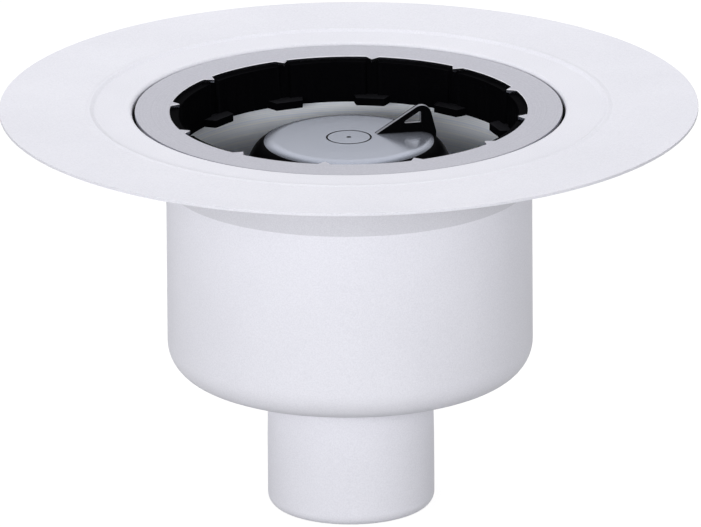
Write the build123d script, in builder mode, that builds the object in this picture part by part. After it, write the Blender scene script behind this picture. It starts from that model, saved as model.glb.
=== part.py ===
"""Flat roof drain: a sheet metal body with a bonding flange and a lift-out bell trap.

Millimetres, +Z up. The origin is on the axis, at the lower end of the outlet spigot.
"""
import os
from math import cos, radians, tan

from build123d import *

# Body: drawn, spun and welded sheet metal
body_sheet = 2.0
spigot_length = 92.0
pot_height = 131.0
neck_height = 51.0
pot_radius = 120.5
pot_corner = 22.0
flange_radius = 230.0
flange_land = 26.3
flange_step_drop = 1.2
flange_step_run = 2.0
seat_width = 11.2
seat_edge_bend = 2.6

# Outlet: the tube's cylindrical stretch fits a standard pipe socket
spigot_radius = 55.0
spigot_neck_radius = 54.4
spigot_taper = 44.0
spigot_roll = 8.0
spigot_roll_land = 1.0

# Frame ring and the moulded insert under it
socket_gap = 6.5
tooth_count = 12
tooth_first_angle = 22.1
tooth_length = 5.5
tooth_width = 8.5
tooth_root = 1.0
tooth_clearance = 0.3
frame_width = 22.9
frame_thickness = 2.5
frame_drop = 2.4
frame_gap = 2.0
frame_edge = 0.4
insert_lip = 3.0
insert_lip_gap = 0.5
insert_lip_chamfer = 1.2
insert_wall = 4.0
insert_depth = 27.5
channel_width = 8.0
channel_depth = 2.5
lug_tip = 18.7
lug_root = 26.0
lug_reach = 8.3
lug_height = 5.0

# Standpipe and its seal
standpipe_rise = 106.0
standpipe_wall = 1.5
standpipe_tail = 32.0
collar_width = 15.0
collar_thickness = 2.0
seal_space = 3.4
seal_length = 14.0
seal_top_gap = 6.0
seal_body = 1.6
seal_lip_height = 3.0
seal_fit = 0.15

# Trap bell, its spacer fins and its handle
bell_sheet = 1.5
bell_rise = 52.0
bell_top_radius = 59.9
bell_shoulder = 20.0
bell_flank_angle = 24.5
bell_skirt_radius = 83.6
bell_skirt_bend = 20.0
bell_rim_flare = 2.5
bell_rim_height = 6.0
water_seal = 60.0
fin_count = 3
fin_first_angle = 90.0
fin_sheet = 2.0
fin_overlap = 5.0
fin_inner_height = 12.0
fin_tongue_depth = 14.0
fin_tongue_width = 8.0
fin_weld_length = 20.0
fin_weld_margin = 8.0
fin_fit = 0.2
handle_sheet = 4.0
handle_angle = 12.8
handle_offset = 3.5
handle_start = 17.5
handle_inset = 0.45
handle_lean = 5.6
handle_height = 22.2
handle_apex = 6.9
handle_hole_base = 6.8
handle_hole_margin = 3.8
handle_hole_side = 10.4
handle_hole_corner = 0.8

# Heights along the axis, from the spigot's end upwards
pot_bottom_z = spigot_length
pot_floor_z = pot_bottom_z + body_sheet
seam_z = pot_bottom_z + pot_height
flange_top_z = seam_z + neck_height
frame_bottom_z = flange_top_z - frame_drop - frame_thickness
seat_z = frame_bottom_z - insert_lip
standpipe_top_z = pot_floor_z + standpipe_rise
bell_top_z = standpipe_top_z + bell_rise
bell_rim_z = standpipe_top_z - water_seal

# Radii that pieces share
pot_inner_radius = pot_radius - body_sheet
socket_radius = pot_inner_radius - socket_gap
frame_inner_radius = socket_radius + tooth_clearance + tooth_length
frame_outer_radius = frame_inner_radius + frame_width
seat_radius = frame_outer_radius + frame_gap
neck_mouth_radius = seat_radius - seat_width
outlet_radius = spigot_neck_radius - body_sheet
standpipe_radius = outlet_radius - seal_space
flank_slope = tan(radians(bell_flank_angle))
neck_slope = (neck_mouth_radius - pot_inner_radius) / (seat_z - seam_z)


def neck_radius(height):
    """Inner radius of the leaning neck at a height."""
    return pot_inner_radius + neck_slope * (height - seam_z)


def bell_radius(height):
    """Outer radius of the bell at a height on its flank or on the skirt below."""
    return min(bell_skirt_radius, bell_top_radius + flank_slope * (bell_top_z - height))


def sheet_section(points, bends, sheet, side):
    """Section of a bent sheet: one face with its bends (0 is sharp), offset by the sheet."""
    with BuildSketch(Plane.XZ) as section:
        with BuildLine():
            FilletPolyline(*points, radius=bends)
            offset(amount=sheet, side=side, kind=Kind.INTERSECTION)
        make_face()
    return section.sketch


# Flange, step, seat and neck: one spun sheet, trimmed level where it meets the pot
step_inner_radius = seat_radius + flange_land - flange_step_run / 2
step_outer_radius = step_inner_radius + flange_step_run
step_z = flange_top_z - flange_step_drop
trim_z = seam_z - body_sheet
flange_points = [
    (flange_radius, flange_top_z),
    (step_outer_radius, flange_top_z),
    (step_inner_radius, step_z),
    (seat_radius, step_z),
    (seat_radius, seat_z),
    (neck_mouth_radius, seat_z),
    (neck_radius(trim_z), trim_z),
]
flange_bends = [0, 0, seat_edge_bend, 0, 0]
with BuildPart() as roof_flange:
    revolve(sheet_section(flange_points, flange_bends, body_sheet, Side.LEFT), axis=Axis.Z)
    split(bisect_by=Plane.XY.offset(seam_z), keep=Keep.TOP)

# Pot: drawn with a large corner, its hole as wide as the outlet
pot_points = [
    (pot_inner_radius, seam_z),
    (pot_inner_radius, pot_floor_z),
    (outlet_radius, pot_floor_z),
]
with BuildPart() as drain_pot:
    revolve(
        sheet_section(pot_points, [pot_corner - body_sheet], body_sheet, Side.LEFT), axis=Axis.Z
    )

# Outlet spigot: slightly tapered below the pot, then cylindrical, with its end rolled in
spigot_points = [
    (spigot_neck_radius, pot_bottom_z),
    (spigot_radius, pot_bottom_z - spigot_taper),
    (spigot_radius, 0),
    (spigot_radius - spigot_roll - spigot_roll_land, 0),
]
with BuildPart() as outlet_spigot:
    revolve(
        sheet_section(spigot_points, [0, spigot_roll], body_sheet, Side.RIGHT), axis=Axis.Z
    )

# Frame ring: flat ring with V teeth that point inwards over the insert
with BuildPart() as frame_ring:
    with BuildSketch(Plane.XY.offset(frame_bottom_z)):
        Circle(frame_outer_radius)
        Circle(frame_inner_radius, mode=Mode.SUBTRACT)
        with PolarLocations(frame_inner_radius, tooth_count, start_angle=tooth_first_angle):
            Polygon(
                (tooth_root, tooth_width / 2),
                (-tooth_length, 0),
                (tooth_root, -tooth_width / 2),
                align=None,
            )
    extrude(amount=frame_thickness)
    rim_edges = frame_ring.edges().group_by(Axis.Z)[-1].filter_by(GeomType.CIRCLE)
    chamfer(rim_edges.sort_by(SortBy.RADIUS)[-1], frame_edge)

# Insert ring: lip on the seat, short wall, a channel below each tooth and a stop lug below it
insert_bottom_z = frame_bottom_z - insert_depth
insert_lip_radius = seat_radius - insert_lip_gap
insert_wall_radius = socket_radius + insert_wall
lug_top_z = insert_bottom_z + lug_height
lug_sink = insert_wall / 2
with BuildPart() as insert_ring:
    with BuildSketch(Plane.XZ):
        with BuildLine():
            Polyline(
                (socket_radius, frame_bottom_z),
                (insert_lip_radius, frame_bottom_z),
                (insert_lip_radius, seat_z + insert_lip_chamfer),
                (insert_lip_radius - insert_lip_chamfer, seat_z),
                (insert_wall_radius, seat_z),
                (insert_wall_radius, insert_bottom_z),
                (socket_radius, insert_bottom_z),
                close=True,
            )
        make_face()
    revolve(axis=Axis.Z)
    with BuildSketch(Plane.XY.offset(insert_bottom_z)):
        with PolarLocations(socket_radius, tooth_count, start_angle=tooth_first_angle):
            Polygon(
                (lug_sink, lug_root / 2),
                (-lug_reach, lug_tip / 2),
                (-lug_reach, -lug_tip / 2),
                (lug_sink, -lug_root / 2),
                align=None,
            )
    extrude(amount=lug_height)
    with BuildSketch(Plane.XY.offset(lug_top_z)):
        with PolarLocations(socket_radius, tooth_count, start_angle=tooth_first_angle):
            Rectangle(2 * channel_depth, channel_width)
    extrude(amount=frame_bottom_z - lug_top_z, mode=Mode.SUBTRACT)

# Standpipe: overflow tube with a collar that stands on the pot's floor
standpipe_inner_radius = standpipe_radius - standpipe_wall
standpipe_tail_z = pot_bottom_z - standpipe_tail
with BuildPart() as standpipe:
    with BuildSketch(Plane.XZ):
        with BuildLine():
            Polyline(
                (standpipe_inner_radius, standpipe_tail_z),
                (standpipe_radius, standpipe_tail_z),
                (standpipe_radius, pot_floor_z),
                (standpipe_radius + collar_width, pot_floor_z),
                (standpipe_radius + collar_width, pot_floor_z + collar_thickness),
                (standpipe_radius, pot_floor_z + collar_thickness),
                (standpipe_radius, standpipe_top_z),
                (standpipe_inner_radius, standpipe_top_z),
                close=True,
            )
        make_face()
    revolve(axis=Axis.Z)

# Seal: rubber ring round the standpipe's tail, with two lips against the outlet tube
seal_top_z = pot_bottom_z - seal_top_gap
seal_bottom_z = seal_top_z - seal_length
seal_inner_radius = standpipe_radius + seal_fit
seal_body_radius = seal_inner_radius + seal_body
seal_lip_radius = outlet_radius - seal_fit
with BuildPart() as standpipe_seal:
    with BuildSketch(Plane.XZ):
        with BuildLine():
            Polyline(
                (seal_inner_radius, seal_bottom_z),
                (seal_body_radius, seal_bottom_z),
                (seal_lip_radius, seal_bottom_z + seal_lip_height),
                (seal_body_radius, seal_bottom_z + seal_lip_height),
                (seal_body_radius, seal_top_z - seal_lip_height),
                (seal_lip_radius, seal_top_z),
                (seal_inner_radius, seal_top_z),
                close=True,
            )
        make_face()
    revolve(axis=Axis.Z)

# Bell: flat top, rounded shoulder, leaning flank, upright skirt and a flared rim
skirt_top_z = bell_top_z - (bell_skirt_radius - bell_top_radius) / flank_slope
bell_points = [
    (0, bell_top_z),
    (bell_top_radius, bell_top_z),
    (bell_skirt_radius, skirt_top_z),
    (bell_skirt_radius, bell_rim_z + bell_rim_height),
    (bell_skirt_radius + bell_rim_flare, bell_rim_z),
]
bell_bends = [bell_shoulder, bell_skirt_bend, 0]
with BuildPart() as trap_bell:
    revolve(sheet_section(bell_points, bell_bends, bell_sheet, Side.RIGHT), axis=Axis.Z)

# Outer form of the bell, which shapes the foot of its handle
with BuildPart() as bell_form:
    with BuildSketch(Plane.XZ):
        with BuildLine():
            FilletPolyline(*bell_points, radius=bell_bends)
            Polyline(bell_points[-1], (0, bell_rim_z), bell_points[0])
        make_face()
    revolve(axis=Axis.Z)

# Spacer fins: welded inside the flank, notched to stand on the standpipe's rim
flank_wall = bell_sheet / cos(radians(bell_flank_angle))
fin_top_z = bell_top_z - bell_shoulder - fin_weld_margin
fin_low_z = fin_top_z - fin_weld_length
fin_edge_offset = flank_wall + fin_fit
fin_inner_radius = standpipe_radius - fin_overlap
fin_tongue_radius = standpipe_radius + fin_fit
fin_tongue_z = standpipe_top_z - fin_tongue_depth
spacer_fins = []
for fin_index in range(fin_count):
    fin_angle = fin_first_angle + fin_index * 360 / fin_count
    with BuildPart() as spacer_fin:
        with BuildSketch(Plane.XZ.rotated((0, 0, fin_angle))):
            with BuildLine():
                Polyline(
                    (fin_inner_radius, standpipe_top_z),
                    (fin_tongue_radius, standpipe_top_z),
                    (fin_tongue_radius, fin_tongue_z),
                    (fin_tongue_radius + fin_tongue_width, fin_tongue_z),
                    (bell_radius(fin_low_z) - fin_edge_offset, fin_low_z),
                    (bell_radius(fin_top_z) - fin_edge_offset, fin_top_z),
                    (fin_inner_radius, standpipe_top_z + fin_inner_height),
                    close=True,
                )
            make_face()
        extrude(amount=fin_sheet / 2, both=True)
    spacer_fins.append(spacer_fin)

# Handle: upright triangular plate on the bell's top, with a finger hole
handle_outer_radius = bell_top_radius - handle_inset
handle_foot_z = bell_top_z - bell_shoulder
apex_radius = handle_outer_radius - handle_lean
handle_slope = handle_height / (apex_radius - handle_start)
hole_z = bell_top_z + handle_hole_base
hole_side_radius = handle_outer_radius - handle_hole_side
hole_edge_drop = handle_hole_margin * (1 + handle_slope ** 2) ** 0.5
hole_start_radius = handle_start + (handle_hole_base + hole_edge_drop) / handle_slope
hole_top_z = hole_z + handle_slope * (hole_side_radius - hole_start_radius)
handle_plane = Plane.XZ.rotated((0, 0, handle_angle)).offset(-handle_offset)
with BuildPart() as bell_handle:
    with BuildSketch(handle_plane) as plate:
        with BuildLine():
            FilletPolyline(
                (handle_start, bell_top_z),
                (apex_radius, bell_top_z + handle_height),
                (handle_outer_radius, bell_top_z),
                (handle_outer_radius, handle_foot_z),
                (handle_start, handle_foot_z),
                radius=[0, handle_apex, 0, 0, 0],
                close=True,
            )
        make_face()
        with BuildLine():
            FilletPolyline(
                (hole_start_radius, hole_z),
                (hole_side_radius, hole_top_z),
                (hole_side_radius, hole_z),
                radius=handle_hole_corner,
                close=True,
            )
        make_face(mode=Mode.SUBTRACT)
    extrude(amount=handle_sheet / 2, both=True)
    add(bell_form.part, mode=Mode.SUBTRACT)

pieces = {
    "roof_flange": roof_flange,
    "drain_pot": drain_pot,
    "outlet_spigot": outlet_spigot,
    "frame_ring": frame_ring,
    "insert_ring": insert_ring,
    "standpipe": standpipe,
    "standpipe_seal": standpipe_seal,
    "trap_bell": trap_bell,
    "bell_handle": bell_handle,
}
for fin_number, fin in enumerate(spacer_fins, start=1):
    pieces[f"spacer_fin_{fin_number}"] = fin

os.makedirs("parts", exist_ok=True)
for name, piece in pieces.items():
    piece.part.label = name
    export_step(piece.part, f"parts/{name}.step")
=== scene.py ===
import math

import bmesh
import bpy
from mathutils import Matrix, Vector


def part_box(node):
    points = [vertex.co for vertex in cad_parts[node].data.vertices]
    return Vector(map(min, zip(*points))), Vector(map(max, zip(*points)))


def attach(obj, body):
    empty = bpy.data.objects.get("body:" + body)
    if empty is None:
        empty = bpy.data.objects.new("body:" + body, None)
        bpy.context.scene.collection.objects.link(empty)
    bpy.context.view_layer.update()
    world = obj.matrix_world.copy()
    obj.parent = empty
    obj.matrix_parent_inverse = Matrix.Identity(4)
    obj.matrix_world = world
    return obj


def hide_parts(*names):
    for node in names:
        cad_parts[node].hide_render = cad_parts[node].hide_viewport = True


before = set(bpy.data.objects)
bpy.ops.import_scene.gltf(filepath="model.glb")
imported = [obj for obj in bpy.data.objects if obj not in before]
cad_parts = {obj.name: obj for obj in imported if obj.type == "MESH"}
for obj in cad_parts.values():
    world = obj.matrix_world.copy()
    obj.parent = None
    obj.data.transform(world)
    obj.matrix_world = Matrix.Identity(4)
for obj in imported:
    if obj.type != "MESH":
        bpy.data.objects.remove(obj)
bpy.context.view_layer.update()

# Drain pot: deep-drawn stainless sheet with a large corner and a round hole for the outlet.
# Its outside is pickled to a pale matt skin; the press has left draw lines on the inner wall.
sheet = 0.002
sheet_edge = 0.0003
pot_corner = 0.022
outlet_radius = 0.0524
pot_low, pot_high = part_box("drain_pot")
pot_radius = pot_high.x
bend_step = math.radians(7)
straight_half_angle = math.radians(89.9)
turn_steps = 288
same_place = 1e-7


def rounded(points, bends):
    """Closed outline through corner points, with an arc of the given bend at each corner."""
    outline = []
    for i, bend in enumerate(bends):
        corner = Vector(points[i])
        before = (Vector(points[i - 1]) - corner).normalized()
        after = (Vector(points[(i + 1) % len(points)]) - corner).normalized()
        half = before.angle(after) / 2
        if bend == 0 or half > straight_half_angle:
            outline.append(tuple(corner))
            continue
        centre = corner + (before + after).normalized() * (bend / math.sin(half))
        start = corner + before * (bend / math.tan(half)) - centre
        turn = math.pi - 2 * half
        if before.x * after.y - before.y * after.x > 0:
            turn = -turn
        steps = max(2, math.ceil(abs(turn) / bend_step))
        for k in range(steps + 1):
            spoke = Matrix.Rotation(turn * k / steps, 2) @ start
            outline.append(tuple(centre + spoke))
    return outline


def bent_sheet(points, bends, thickness, edge):
    """Section of a sheet bent along points: its right-hand face is offset by the thickness."""
    face = [Vector(point) for point in points]
    runs = [(b - a).normalized() for a, b in zip(face, face[1:])]
    sides = [Vector((run.y, -run.x)) for run in runs]
    back = [face[0] + sides[0] * thickness]
    back_bends = []
    for i, bend in enumerate(bends):
        across = sides[i] + sides[i + 1]
        back.append(face[i + 1] + across * (2 * thickness / across.length_squared))
        left_turn = runs[i].x * runs[i + 1].y - runs[i].y * runs[i + 1].x > 0
        back_bends.append(0 if bend == 0 else bend + (thickness if left_turn else -thickness))
    back.append(face[-1] + sides[-1] * thickness)
    corners = face + back[::-1]
    return rounded(corners, [edge, *bends, edge, edge, *back_bends[::-1], edge])


def piece_from(bm, name):
    """Turns a bmesh into a smooth shaded piece of the scene."""
    bmesh.ops.recalc_face_normals(bm, faces=bm.faces)
    mesh = bpy.data.meshes.new(name)
    bm.to_mesh(mesh)
    bm.free()
    mesh.shade_smooth()
    piece = bpy.data.objects.new(name, mesh)
    bpy.context.collection.objects.link(piece)
    return piece


def turned(name, outline):
    """A piece spun about the drain's axis from its closed section."""
    bm = bmesh.new()
    ring = [bm.verts.new((radius, 0, height)) for radius, height in outline]
    edges = []
    for i, vert in enumerate(ring):
        if vert.co.x > 0 or ring[i - 1].co.x > 0:
            edges.append(bm.edges.new((ring[i - 1], vert)))
    bmesh.ops.spin(
        bm, geom=ring + edges, axis=(0, 0, 1), cent=(0, 0, 0),
        angle=2 * math.pi, steps=turn_steps, use_merge=True,
    )
    bmesh.ops.remove_doubles(bm, verts=bm.verts, dist=same_place)
    piece = piece_from(bm, name)
    piece.modifiers.new("flat_faces_stay_flat", "WEIGHTED_NORMAL")
    return piece


def add_node(tree, kind, sockets, **options):
    """Adds a node; each socket takes a value, or the output that feeds it."""
    node = tree.nodes.new(kind)
    for option, value in options.items():
        setattr(node, option, value)
    for socket, value in sockets.items():
        if isinstance(value, bpy.types.NodeSocket):
            tree.links.new(value, node.inputs[socket])
        else:
            node.inputs[socket].default_value = value
    return node


def new_finish(name, metallic, roughness):
    """A material, its node tree and its shader, with the shader's plain values set."""
    finish = bpy.data.materials.new(name)
    finish.use_nodes = True
    tree = finish.node_tree
    shader = tree.nodes["Principled BSDF"]
    shader.inputs["Metallic"].default_value = metallic
    shader.inputs["Roughness"].default_value = roughness
    return finish, tree, shader


def tone_between(tree, value, dark, light, start=0, end=1):
    """Colour that runs from a dark to a light tone as a value goes from start to end."""
    tone = add_node(tree, "ShaderNodeValToRGB", {"Fac": value})
    stops = zip(tone.color_ramp.elements, (start, end), (dark, light))
    for stop, position, colour in stops:
        stop.position = position
        stop.color = (*colour, 1)
    return tone.outputs["Color"]


def lay_skin(tree, shader, colour, height, strength, depth):
    """Gives a shader its colour and the fine relief of its skin."""
    relief = add_node(
        tree, "ShaderNodeBump", {"Strength": strength, "Distance": depth, "Height": height}
    )
    tree.links.new(colour, shader.inputs["Base Color"])
    tree.links.new(relief.outputs["Normal"], shader.inputs["Normal"])


def pickled_steel(name, light, dark):
    """Pale matt skin of pickled stainless sheet: fine etched grain and faint clouds."""
    finish, tree, shader = new_finish(name, metallic=0.1, roughness=0.6)
    place = add_node(tree, "ShaderNodeTexCoord", {}).outputs["Object"]
    clouds = add_node(tree, "ShaderNodeTexNoise", {"Vector": place, "Scale": 14, "Detail": 4})
    grain = add_node(tree, "ShaderNodeTexNoise", {"Vector": place, "Scale": 1100, "Detail": 2})
    mottle = add_node(
        tree, "ShaderNodeMix",
        {"Factor": 0.7, 2: clouds.outputs["Fac"], 3: grain.outputs["Fac"]}, data_type="FLOAT",
    )
    tone = tone_between(tree, mottle.outputs["Result"], dark, light, start=0.35, end=0.65)
    lay_skin(tree, shader, tone, grain.outputs["Fac"], strength=0.12, depth=0.0002)
    return finish


def drawn_steel(name, light, dark):
    """Inner wall as the press left it: brighter bare metal with level draw lines."""
    finish, tree, shader = new_finish(name, metallic=0, roughness=0.42)
    place = add_node(tree, "ShaderNodeTexCoord", {}).outputs["Object"]
    level = add_node(tree, "ShaderNodeSeparateXYZ", {"Vector": place})
    lines = add_node(
        tree, "ShaderNodeTexNoise", {"W": level.outputs["Z"], "Scale": 900, "Detail": 3},
        noise_dimensions="1D",
    )
    tone = tone_between(tree, lines.outputs["Fac"], dark, light, start=0.3, end=0.7)
    lay_skin(tree, shader, tone, lines.outputs["Fac"], strength=0.2, depth=0.0001)
    return finish


def refinish(piece, finish, chosen):
    """Gives another finish to the faces chosen by their radius, outward lean and upward lean."""
    piece.data.materials.append(finish)
    for face in piece.data.polygons:
        spoke = Vector((face.center.x, face.center.y, 0))
        if chosen(spoke.length, face.normal.dot(spoke.normalized()), face.normal.z):
            face.material_index = len(piece.data.materials) - 1


body_finish = pickled_steel("pickled_steel", light=(0.85, 0.85, 0.915), dark=(0.77, 0.77, 0.835))
inside_finish = drawn_steel("drawn_steel", light=(0.97, 0.99, 1), dark=(0.8, 0.86, 0.99))
pot_outline = bent_sheet(
    [
        (outlet_radius, pot_low.z),
        (pot_radius, pot_low.z),
        (pot_radius, pot_high.z),
    ],
    [pot_corner],
    -sheet,
    sheet_edge,
)
pot = turned("drain_pot_shell", pot_outline)
pot.data.materials.append(body_finish)
refinish(pot, inside_finish, lambda radius, lean, rise: lean < 0)
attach(pot, "root")
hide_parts("drain_pot")

# Outlet spigot: a short length of stainless tube, slightly tapered below the pot and rolled in at
# its end to enter a pipe socket. It is butt welded under the pot, with a fine groove at the joint.
spigot_low, spigot_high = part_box("outlet_spigot")
spigot_radius = spigot_high.x
spigot_neck_radius = 0.0544
spigot_taper = 0.044
spigot_roll = 0.008
spigot_land = 0.001
weld_groove = 0.0011
spigot_outline = bent_sheet(
    [
        (spigot_neck_radius - weld_groove, spigot_high.z),
        (spigot_neck_radius - weld_groove, spigot_high.z - weld_groove),
        (spigot_neck_radius, spigot_high.z - 2 * weld_groove),
        (spigot_radius, spigot_high.z - spigot_taper),
        (spigot_radius, spigot_low.z),
        (spigot_radius - spigot_roll - spigot_land, spigot_low.z),
    ],
    [0, 0, 0, spigot_roll],
    sheet,
    0,
)
spigot = turned("outlet_spigot_tube", spigot_outline)
spigot.data.materials.append(body_finish)
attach(spigot, "root")
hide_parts("outlet_spigot")

# Roof flange: one spun stainless sheet with a shallow beaded step for the membrane, the sunk seat
# of the frame ring and a leaning neck, whose lower edge is welded to the pot. It is pickled like
# the pot; the neck's outside has a darker copy of that skin, painted shade under the flange.
flange_low, flange_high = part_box("roof_flange")
flange_radius = flange_high.x
step_radius = 0.169
step_drop = 0.0012
step_run = 0.003
step_bend = 0.0025
bead_height = 0.0006
bead_width = 0.003
seat_radius = 0.1427
seat_depth = 0.0079
seat_width = 0.0112
seat_edge_bend = 0.0026
seat_floor_bend = 0.0012
neck_bend = 0.004
step_level = flange_high.z - step_drop
seat_level = flange_high.z - seat_depth
flange_outline = bent_sheet(
    [
        (flange_radius, flange_high.z),
        (step_radius + step_run / 2 + bead_width, flange_high.z),
        (step_radius + step_run / 2, flange_high.z + bead_height),
        (step_radius - step_run / 2, step_level),
        (seat_radius, step_level),
        (seat_radius, seat_level),
        (seat_radius - seat_width, seat_level),
        (pot_radius - sheet, flange_low.z),
    ],
    [step_bend, step_bend, step_bend, seat_edge_bend, seat_floor_bend, neck_bend],
    -sheet,
    sheet_edge,
)
# Painted shade: the outside of the neck gets a darker copy of the pickled skin, for the flange's
# shadow.
neck_finish = pickled_steel("neck_painted_shade", light=(0.735, 0.735, 0.79), dark=(0.655, 0.655, 0.71))
flange = turned("roof_flange_sheet", flange_outline)
flange.data.materials.append(body_finish)
neck_radius = seat_radius - seat_width
refinish(flange, inside_finish, lambda radius, lean, rise: radius < neck_radius and lean < 0)
refinish(
    flange, neck_finish, lambda radius, lean, rise: radius < neck_radius + sheet and lean > 0
)
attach(flange, "root")
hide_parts("roof_flange")

# Insert ring: one black plastic moulding whose lip lies on the seat under the frame ring. Below
# each tooth of the ring its wall has an upright channel, and a stop lug stands out at the bottom.
tooth_count = 12
tooth_first_angle = 22.1
insert_low, insert_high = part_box("insert_ring")
insert_lip_radius = insert_high.x
insert_lip_chamfer = 0.0012
socket_radius = 0.112
insert_wall = 0.004
insert_edge = 0.0004
sharp_angle = math.radians(35)
level_rise = 0.9
channel_width = 0.008
channel_depth = 0.0025
lug_tip = 0.0187
lug_root = 0.026
lug_reach = 0.0083
lug_height = 0.005
lug_corner = 0.001
arc_step = math.radians(1.5)


def arc_angles(start, end):
    """Angles from start to end in even steps, both ends included."""
    steps = max(1, round((end - start) / arc_step))
    return [start + (end - start) * k / steps for k in range(steps + 1)]


def add_band(bm, first, second):
    """Joins two closed rows of vertices by a band of faces."""
    for k in range(len(first)):
        bm.faces.new((first[k - 1], first[k], second[k], second[k - 1]))


def add_columns(bm, columns):
    """Joins upright sections of (radius, height) points, each at its angle, round the axis."""
    rows = []
    for angle, section in columns:
        spoke = Vector((math.cos(angle), math.sin(angle), 0))
        rows.append([bm.verts.new(spoke * radius + Vector((0, 0, z))) for radius, z in section])
    for i, row in enumerate(rows):
        add_band(bm, rows[i - 1], row)


def add_prism(bm, outline, angle, low, high):
    """Adds an upright prism on a plan of (radius, offset) points, turned to its angle."""
    turn = Matrix.Rotation(angle, 4, "Z")
    rows = [[bm.verts.new(turn @ Vector((x, y, z))) for x, y in outline] for z in (low, high)]
    add_band(bm, *rows)
    for row in rows:
        bm.faces.new(row)


def soften(piece, edge):
    """Rounds a piece's sharp edges and keeps its flat faces flat."""
    bevel = piece.modifiers.new("soft_edges", "BEVEL")
    bevel.width = edge
    bevel.segments = 3
    bevel.limit_method = "ANGLE"
    bevel.angle_limit = sharp_angle
    piece.modifiers.new("flat_faces_stay_flat", "WEIGHTED_NORMAL")


def black_skin(name, specular, light, dark):
    """Black skin of a moulding or a coating: fine grain and a low sheen."""
    finish, tree, shader = new_finish(name, metallic=0, roughness=0.38)
    shader.inputs["Specular IOR Level"].default_value = specular
    place = add_node(tree, "ShaderNodeTexCoord", {}).outputs["Object"]
    grain = add_node(tree, "ShaderNodeTexNoise", {"Vector": place, "Scale": 700, "Detail": 3})
    tone = tone_between(tree, grain.outputs["Fac"], dark, light)
    lay_skin(tree, shader, tone, grain.outputs["Fac"], strength=0.15, depth=0.0001)
    return finish


def insert_section(inner_radius):
    """Section of the insert ring: lip with a chamfered underside, and the short wall."""
    wall_radius = socket_radius + insert_wall
    return [
        (inner_radius, insert_high.z),
        (insert_lip_radius, insert_high.z),
        (insert_lip_radius, seat_level + insert_lip_chamfer),
        (insert_lip_radius - insert_lip_chamfer, seat_level),
        (wall_radius, seat_level),
        (wall_radius, insert_low.z),
        (inner_radius, insert_low.z),
    ]


tooth_pitch = 2 * math.pi / tooth_count
tooth_angles = [math.radians(tooth_first_angle) + k * tooth_pitch for k in range(tooth_count)]
channel_half = math.asin(channel_width / 2 / socket_radius)
lug_outline = rounded(
    [
        (socket_radius - lug_reach, -lug_tip / 2),
        (socket_radius - lug_reach, lug_tip / 2),
        (socket_radius + insert_wall / 2, lug_root / 2),
        (socket_radius + insert_wall / 2, -lug_root / 2),
    ],
    [lug_corner, lug_corner, 0, 0],
)
insert_mesh = bmesh.new()
insert_columns = []
for angle in tooth_angles:
    for stop in arc_angles(angle - channel_half, angle + channel_half):
        insert_columns.append((stop, insert_section(socket_radius + channel_depth)))
    for stop in arc_angles(angle + channel_half, angle + tooth_pitch - channel_half):
        insert_columns.append((stop, insert_section(socket_radius)))
add_columns(insert_mesh, insert_columns)
for angle in tooth_angles:
    add_prism(insert_mesh, lug_outline, angle, insert_low.z, insert_low.z + lug_height)
insert = piece_from(insert_mesh, "insert_ring_moulding")
soften(insert, insert_edge)
black_plastic = black_skin(
    "black_plastic", specular=0.002, light=(0.0028, 0.0028, 0.0035), dark=(0.001, 0.001, 0.0014)
)
# Painted light: the upward faces of the lugs get a lighter grey for the light that falls on them.
dusty_plastic = black_skin(
    "dusty_plastic", specular=0.01, light=(0.02, 0.02, 0.023), dark=(0.008, 0.008, 0.01)
)
insert.data.materials.append(black_plastic)
refinish(
    insert, dusty_plastic,
    lambda radius, lean, rise: radius < socket_radius and rise > level_rise,
)
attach(insert, "root")
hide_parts("insert_ring")

# Frame ring: flat stainless ring that lies loose in the seat on the insert's lip and carries the
# grating. Twelve V teeth point inwards over the channels, and its top is turned to a satin face.
ring_low, ring_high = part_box("frame_ring")
ring_radius = ring_high.x
ring_inner_radius = 0.1178
tooth_length = 0.0055
tooth_half_width = 0.00425
ring_chamfer = 0.0005
ring_edge = 0.00015
inward_lean = -0.1
chamfer_rise = 0.3


def turned_steel(name, light, dark, metallic, roughness):
    """Satin stainless face with the fine circles that a lathe tool leaves."""
    finish, tree, shader = new_finish(name, metallic, roughness)
    place = add_node(tree, "ShaderNodeTexCoord", {}).outputs["Object"]
    flat = add_node(
        tree, "ShaderNodeVectorMath", {0: place, 1: (1, 1, 0)}, operation="MULTIPLY"
    )
    radius = add_node(
        tree, "ShaderNodeVectorMath", {0: flat.outputs["Vector"]}, operation="LENGTH"
    )
    circles = add_node(
        tree, "ShaderNodeTexNoise", {"W": radius.outputs["Value"], "Scale": 1600, "Detail": 3},
        noise_dimensions="1D",
    )
    speckle = add_node(tree, "ShaderNodeTexNoise", {"Vector": place, "Scale": 900, "Detail": 2})
    mottle = add_node(
        tree, "ShaderNodeMix",
        {"Factor": 0.5, 2: circles.outputs["Fac"], 3: speckle.outputs["Fac"]}, data_type="FLOAT",
    )
    tone = tone_between(tree, mottle.outputs["Result"], dark, light, start=0.3, end=0.7)
    lay_skin(tree, shader, tone, circles.outputs["Fac"], strength=0.25, depth=0.0001)
    return finish


def ring_section(inner_radius):
    """Section of the frame ring at one angle."""
    return [
        (inner_radius, ring_low.z),
        (ring_radius, ring_low.z),
        (ring_radius, ring_high.z),
        (inner_radius + ring_chamfer, ring_high.z),
        (inner_radius, ring_high.z - ring_chamfer),
    ]


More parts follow.
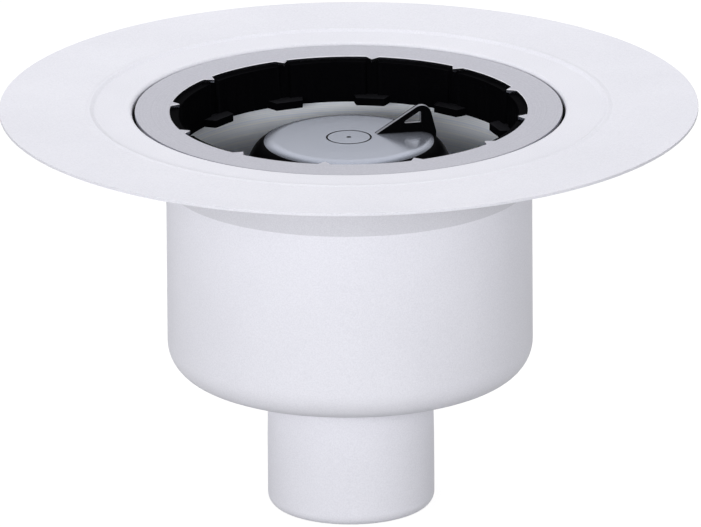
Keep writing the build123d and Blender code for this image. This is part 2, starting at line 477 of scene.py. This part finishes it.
tooth_half = tooth_half_width / ring_inner_radius
ring_columns = []
for angle in tooth_angles:
    ring_columns.append((angle, ring_section(ring_inner_radius - tooth_length)))
    for stop in arc_angles(angle + tooth_half, angle + tooth_pitch - tooth_half):
        ring_columns.append((stop, ring_section(ring_inner_radius)))
ring_mesh = bmesh.new()
add_columns(ring_mesh, ring_columns)
ring = piece_from(ring_mesh, "frame_ring_plate")
soften(ring, ring_edge)
ring_finish = turned_steel(
    "turned_steel", light=(0.65, 0.65, 0.72), dark=(0.51, 0.51, 0.58), metallic=0.4, roughness=0.4
)
ring.data.materials.append(ring_finish)
ring_edge_finish = turned_steel(
    "turned_edge", light=(0.5, 0.5, 0.55), dark=(0.4, 0.4, 0.45), metallic=1, roughness=0.2
)
refinish(
    ring, ring_edge_finish,
    lambda radius, lean, rise: lean < inward_lean and rise < chamfer_rise,
)
# Painted highlight: the ring's inner chamfer gets a much lighter steel tone, a bright line along
# the edge.
chamfer_finish = turned_steel(
    "chamfer_steel_painted_highlight", light=(0.86, 0.86, 0.92), dark=(0.76, 0.76, 0.82), metallic=0.1, roughness=0.4
)
refinish(
    ring, chamfer_finish,
    lambda radius, lean, rise: lean < inward_lean and chamfer_rise < rise < level_rise,
)
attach(ring, "root")
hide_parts("frame_ring")

# Standpipe and its seal: the trap's overflow tube stands on the pot's floor over the outlet, and a
# black rubber ring with two lips closes the gap to the outlet tube. Both are hidden by the bell.


def bloomed_rubber(name, light, dark):
    """Black rubber with a dull, slightly bloomed skin."""
    finish, tree, shader = new_finish(name, metallic=0, roughness=0.75)
    place = add_node(tree, "ShaderNodeTexCoord", {}).outputs["Object"]
    bloom = add_node(tree, "ShaderNodeTexNoise", {"Vector": place, "Scale": 240, "Detail": 4})
    tone = tone_between(tree, bloom.outputs["Fac"], dark, light)
    tree.links.new(tone, shader.inputs["Base Color"])
    return finish


def dress(node_name, finish):
    """Gives a carried-over CAD node its finish."""
    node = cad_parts[node_name]
    node.data.materials.clear()
    node.data.materials.append(finish)


seal_finish = bloomed_rubber(
    "seal_rubber", light=(0.035, 0.035, 0.036), dark=(0.012, 0.012, 0.012)
)
dress("standpipe", inside_finish)
dress("standpipe_seal", seal_finish)

# Trap bell: spun from thin stainless sheet with a slightly crowned top, a rounded shoulder, a
# leaning flank and a flared rim. Its top is polished, with the spinner's centre mark and one
# circle, both dark, and its flank is black.
bell_low, bell_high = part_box("trap_bell")
bell_sheet = 0.0015
bell_top_radius = 0.0599
bell_shoulder = 0.020
bell_skirt_radius = 0.0836
bell_skirt_bend = 0.020
bell_flank_angle = math.radians(24.5)
bell_rim_height = 0.006
bell_rim_bend = 0.004
polished_radius = 0.055
bell_crown = 0.0008
centre_mark = 0.0016
circle_radius = 0.0145
circle_width = 0.0006
circle_depth = 0.0003
flank_drop = (bell_skirt_radius - bell_top_radius) / math.tan(bell_flank_angle)
inner_crown_radii = (0, centre_mark, 1.5 * centre_mark, 0.006, 0.010)
circle_radii = [circle_radius + k * circle_width for k in (-2, -1, 0, 1, 2)]
outer_crown_radii = (0.020, 0.025, 0.030, 0.035)
crown = []
for radius in (*inner_crown_radii, *circle_radii, *outer_crown_radii):
    cut = circle_depth if radius in (0, circle_radius) else 0
    rise = bell_crown * (1 - (radius / bell_top_radius) ** 2)
    crown.append((radius, bell_high.z + rise - cut))
bell_outline = bent_sheet(
    [
        *crown,
        (bell_top_radius, bell_high.z),
        (bell_skirt_radius, bell_high.z - flank_drop),
        (bell_skirt_radius, bell_low.z + bell_rim_height),
        (bell_high.x, bell_low.z),
    ],
    [0] * (len(crown) - 1) + [bell_shoulder, bell_skirt_bend, bell_rim_bend],
    bell_sheet,
    0,
)
bell = turned("trap_bell_shell", bell_outline)
polished_steel = turned_steel(
    "polished_steel", light=(0.48, 0.51, 0.6), dark=(0.41, 0.44, 0.53),
    metallic=0.75, roughness=0.22,
)
black_coat = black_skin(
    "black_coat", specular=0.02, light=(0.003, 0.003, 0.0036), dark=(0.001, 0.001, 0.0014)
)


def blackened(radius, lean, rise):
    """Whether a face lies on the bell's flank, in its centre mark or in its circle."""
    marked = radius < centre_mark or abs(radius - circle_radius) < circle_width
    return (radius > polished_radius and lean > 0) or (rise > 0 and marked)


bell.data.materials.append(polished_steel)
refinish(bell, black_coat, blackened)
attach(bell, "root")
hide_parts("trap_bell")

# Spacer fins: three stainless sheet fins welded inside the bell's flank, notched to stand on the
# standpipe's rim. They keep the solid model's shape.
for fin_number in range(1, 4):
    dress(f"spacer_fin_{fin_number}", inside_finish)

# Bell handle: an upright triangle of stainless sheet welded on the bell's top, with a triangular
# hole for a finger or a hook. It is black like the bell's flank. The front band of its edge is
# ground bare, and the rear band of the edge stays black as a dark line.
handle_sheet = 0.004
handle_ground = 0.0026
handle_angle = math.radians(12.8)
handle_offset = 0.0035
handle_start = 0.0175
handle_inset = 0.00045
handle_lean = 0.0056
handle_height = 0.0222
handle_apex = 0.0069
handle_sink = 0.0005
hole_base = 0.0068
hole_margin = 0.0038
hole_side = 0.0104
hole_corner = 0.0008
handle_edge = 0.0004
face_tolerance = 1e-6
handle_outer_radius = bell_top_radius - handle_inset
handle_foot = bell_high.z - handle_sink
apex_radius = handle_outer_radius - handle_lean
handle_slope = handle_height / (apex_radius - handle_start)
hole_low = bell_high.z + hole_base
hole_far = handle_outer_radius - hole_side
hole_near = handle_start + (hole_base + hole_margin * math.hypot(1, handle_slope)) / handle_slope
hole_high = hole_low + handle_slope * (hole_far - hole_near)
shoulder_start = bell_top_radius - bell_shoulder * math.tan(
    (math.pi / 2 - bell_flank_angle) / 2
)
foot_bend = bell_shoulder - handle_sink
foot_turn = math.asin((handle_outer_radius - shoulder_start) / foot_bend)
foot_steps = math.ceil(foot_turn / bend_step)
foot_arc = []
for k in range(foot_steps + 1):
    turn = foot_turn * k / foot_steps
    foot_arc.append(
        (
            shoulder_start + foot_bend * math.sin(turn),
            bell_high.z - bell_shoulder + foot_bend * math.cos(turn),
        )
    )
handle_corners = [
    (handle_start, handle_foot),
    *foot_arc,
    (handle_outer_radius, bell_high.z),
    (apex_radius, bell_high.z + handle_height),
    (handle_start, bell_high.z),
]
handle_bends = [0] * len(handle_corners)
handle_bends[-2] = handle_apex
handle_loops = [
    rounded(handle_corners, handle_bends),
    rounded(
        [(hole_near, hole_low), (hole_far, hole_low), (hole_far, hole_high)], [hole_corner] * 3
    ),
]
handle_front = handle_offset - handle_sheet / 2
handle_layers = (handle_front, handle_front + handle_ground, handle_front + handle_sheet)
handle_mesh = bmesh.new()
rims = []
for loop in handle_loops:
    rows = [[handle_mesh.verts.new((x, y, z)) for x, z in loop] for y in handle_layers]
    add_band(handle_mesh, rows[0], rows[1])
    add_band(handle_mesh, rows[1], rows[2])
    rims.append((rows[0], rows[2]))
for side in zip(*rims):
    rim_edges = []
    for row in side:
        rim_edges += [handle_mesh.edges.get((row[i - 1], row[i])) for i in range(len(row))]
    bmesh.ops.triangle_fill(handle_mesh, edges=rim_edges, use_beauty=True, use_dissolve=False)
handle_turn = Matrix.Rotation(handle_angle, 4, "Z")
handle_mesh.transform(handle_turn)
handle = piece_from(handle_mesh, "bell_handle_plate")
soften(handle, handle_edge)
handle.data.materials.append(black_coat)
ground_edge = turned_steel(
    "ground_edge", light=(0.42, 0.43, 0.48), dark=(0.34, 0.35, 0.4), metallic=0.4, roughness=0.4
)
handle.data.materials.append(ground_edge)
# The front band of the edge gets the ground finish; the rear band and both faces stay black.
for face in handle.data.polygons:
    depth = (handle_turn.inverted() @ face.center).y
    face.material_index = int(handle_front < depth - face_tolerance and depth < handle_layers[1])
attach(handle, "root")
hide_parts("bell_handle")

# Studio: a plain white floor under the drain, white surroundings, soft lamps and the camera. None
# of it is part of the drain.
floor_size = 3.0
floor_mesh = bpy.data.meshes.new("floor")
floor_mesh.from_pydata(
    [(x, y, 0) for x, y in ((-1, -1), (1, -1), (1, 1), (-1, 1))], [], [(0, 1, 2, 3)]
)
floor = bpy.data.objects.new("floor", floor_mesh)
floor.scale = (floor_size, floor_size, 1)
bpy.context.collection.objects.link(floor)
floor_glow = 0.93
floor_bounce = (0.42, 0.42, 0.42, 1)
floor_shade = (0.15, 0.15, 0.15, 1)


def math_node(tree, operation, *values):
    """Output of a sum on numbers or on the outputs of other nodes."""
    return add_node(
        tree, "ShaderNodeMath", dict(enumerate(values)), operation=operation
    ).outputs["Value"]


def looked_at(tree, path):
    """1 for rays that look at the studio itself, 0 for those that only light the drain."""
    seen = math_node(
        tree, "MAXIMUM", path.outputs["Is Camera Ray"], path.outputs["Is Glossy Ray"]
    )
    return math_node(tree, "MAXIMUM", seen, path.outputs["Is Transmission Ray"])


floor_finish = bpy.data.materials.new("white_floor")
floor_finish.use_nodes = True
floor_tree = floor_finish.node_tree
floor_tree.nodes.clear()
floor_path = add_node(floor_tree, "ShaderNodeLightPath", {})
matt = add_node(floor_tree, "ShaderNodeBsdfDiffuse", {"Color": floor_bounce})
shade = add_node(floor_tree, "ShaderNodeBsdfDiffuse", {"Color": floor_shade})
glow = add_node(
    floor_tree, "ShaderNodeEmission", {"Color": (1, 1, 1, 1), "Strength": floor_glow}
)
bright = add_node(
    floor_tree, "ShaderNodeAddShader", {0: shade.outputs["BSDF"], 1: glow.outputs["Emission"]}
)
floor_mix = add_node(
    floor_tree, "ShaderNodeMixShader",
    {
        "Fac": looked_at(floor_tree, floor_path),
        1: matt.outputs["BSDF"],
        2: bright.outputs["Shader"],
    },
)
add_node(floor_tree, "ShaderNodeOutputMaterial", {"Surface": floor_mix.outputs["Shader"]})
floor.data.materials.append(floor_finish)

world = bpy.data.worlds.new("white_studio")
bpy.context.scene.world = world
world.use_nodes = True
world_tree = world.node_tree
world_tree.nodes.clear()
horizon_light = 1.45
horizon_low = (0.05, 0.13)
horizon_high = (0.5, 0.36)
overhead_light = 0.08
dark_room = 0.04
panel_light = 1.05
panel_sides = (0.45, 0.2)
panel_rise = (0.22, 0.4)
panel_foot = 0.1


def graded(value, ends=(0, 1), low=0, high=1):
    """A value mapped from its two ends to a low and a high one, and held beyond them."""
    sockets = {"Value": value, "To Min": low, "To Max": high}
    sockets["From Min"], sockets["From Max"] = ends
    return add_node(world_tree, "ShaderNodeMapRange", sockets).outputs["Result"]


world_path = add_node(world_tree, "ShaderNodeLightPath", {})
towards = add_node(world_tree, "ShaderNodeTexCoord", {}).outputs["Generated"]
course = add_node(world_tree, "ShaderNodeSeparateXYZ", {"Vector": towards})
height = course.outputs["Z"]
horizon = math_node(
    world_tree, "MULTIPLY", graded(height, horizon_low), graded(height, horizon_high)
)
room = graded(horizon, low=overhead_light, high=horizon_light)
bearing = math_node(world_tree, "ARCTAN2", course.outputs["X"], course.outputs["Y"])
aside = math_node(world_tree, "ABSOLUTE", bearing)
panel = math_node(
    world_tree, "MULTIPLY", graded(aside, panel_sides), graded(height, panel_rise, low=panel_foot)
)
mirrored = graded(panel, low=dark_room, high=panel_light)
backdrop = math_node(world_tree, "MAXIMUM", world_path.outputs["Is Camera Ray"], mirrored)
strength = add_node(
    world_tree, "ShaderNodeMix",
    {"Factor": looked_at(world_tree, world_path), 2: room, 3: backdrop}, data_type="FLOAT",
)
sky = add_node(
    world_tree, "ShaderNodeBackground",
    {"Color": (1, 1, 1, 1), "Strength": strength.outputs["Result"]},
)
add_node(world_tree, "ShaderNodeOutputWorld", {"Surface": sky.outputs["Background"]})


def soft_lamp(name, place, width, height, power):
    """A studio softbox that looks at the drain."""
    light = bpy.data.lights.new(name, "AREA")
    light.shape = "RECTANGLE"
    light.size = width
    light.size_y = height
    light.energy = power
    lamp = bpy.data.objects.new(name, light)
    lamp.location = place
    aim = Vector((0, 0, pot_high.z)) - Vector(place)
    lamp.rotation_mode = "QUATERNION"
    lamp.rotation_quaternion = aim.to_track_quat("-Z", "Y")
    lamp.visible_camera = False
    lamp.visible_glossy = False
    bpy.context.collection.objects.link(lamp)


soft_lamp("front_softbox", (-0.64, -3.0, 0.99), width=2.0, height=0.36, power=52)
soft_lamp("top_softbox", (0, 0.8, 2.5), width=2.0, height=2.0, power=46)

camera_elevation = math.radians(18)
camera_roll = math.radians(-0.385)
camera_distance = 15.5
picture_width = 0.462
camera_target = Vector((0.0005, 0, 0.1652))
camera_data = bpy.data.cameras.new("camera")
camera = bpy.data.objects.new("camera", camera_data)
bpy.context.collection.objects.link(camera)
camera_data.lens = camera_data.sensor_width * camera_distance / picture_width
camera_data.clip_end = 2 * camera_distance
backwards = Vector((0, -math.cos(camera_elevation), math.sin(camera_elevation)))
camera.location = camera_target + backwards * camera_distance
camera.rotation_euler = (
    (-backwards).to_track_quat("-Z", "Y").to_matrix() @ Matrix.Rotation(camera_roll, 3, "Z")
).to_euler()
bpy.context.scene.camera = camera
bpy.context.scene.view_settings.view_transform = "Standard"
